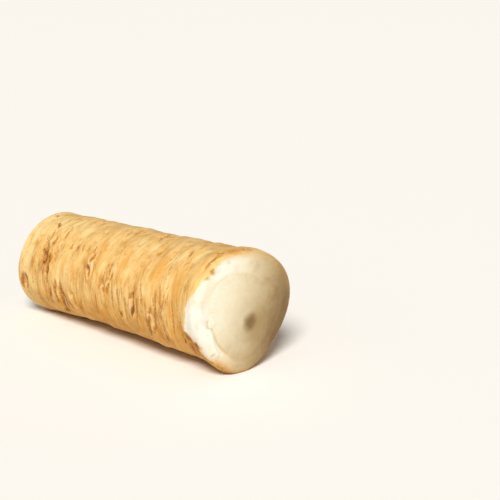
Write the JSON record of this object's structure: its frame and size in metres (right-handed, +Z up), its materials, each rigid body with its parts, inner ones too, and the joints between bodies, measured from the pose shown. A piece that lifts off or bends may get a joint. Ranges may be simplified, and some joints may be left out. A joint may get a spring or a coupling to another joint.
{
  "type": "horseradish root",
  "caption": "Length of thick horseradish tap root lying on its side, cut across at both ends, with ringed bark and pale flesh at the cuts.",
  "frame": {"origin": "on the floor, under the middle of the root's box", "axes": "+X along the root towards its thicker cut, +Z up"},
  "size_m": [0.1172, 0.0472, 0.0469],
  "materials": {
    "root": "matte, dry ringed bark, with pale moist flesh at both cuts"
  },
  "bodies": {
    "root": {"root": "root"}
  },
  "joints": []
}
